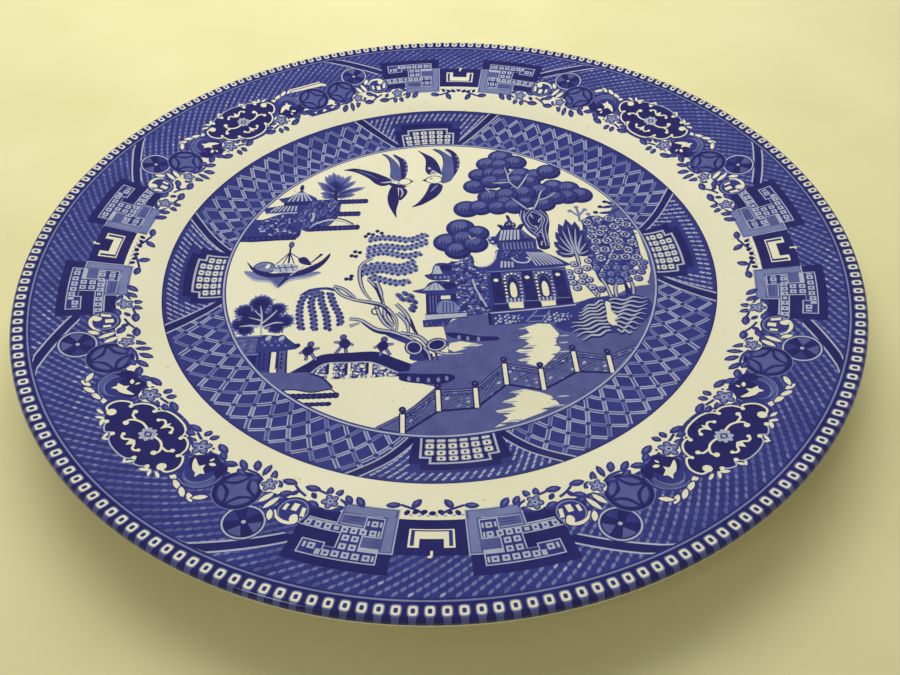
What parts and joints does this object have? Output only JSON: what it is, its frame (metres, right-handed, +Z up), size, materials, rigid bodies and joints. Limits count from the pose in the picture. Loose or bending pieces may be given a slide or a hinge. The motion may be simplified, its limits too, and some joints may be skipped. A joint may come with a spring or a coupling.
{
  "type": "china dinner plate",
  "caption": "Round glazed china dinner plate: flat well, broad sloping rim and foot ring, with blue printed borders and a blue landscape scene under a clear glaze.",
  "frame": {"origin": "centre of the plate, on the plane that the foot ring stands on", "axes": "+Z up out of the well, along the turning axis; +X to the right and +Y to the top of the printed scene"},
  "size_m": [0.254, 0.254, 0.022],
  "materials": {
    "clay": "unglazed fired clay, shown only on the foot ring's standing face",
    "rim_border_print": "cobalt print under glaze",
    "well_border_print": "cobalt print under glaze",
    "centre_scene_print": "cobalt print under glaze",
    "clear_glaze": "glossy cream glaze",
    "foot_well_glaze": "glossy cream glaze"
  },
  "bodies": {
    "root": {"clay_body": "clay", "rim_border_transfer": "rim_border_print", "well_border_transfer": "well_border_print", "centre_scene_transfer": "centre_scene_print", "glaze_coat": "clear_glaze", "foot_well_glaze": "foot_well_glaze"}
  },
  "joints": []
}
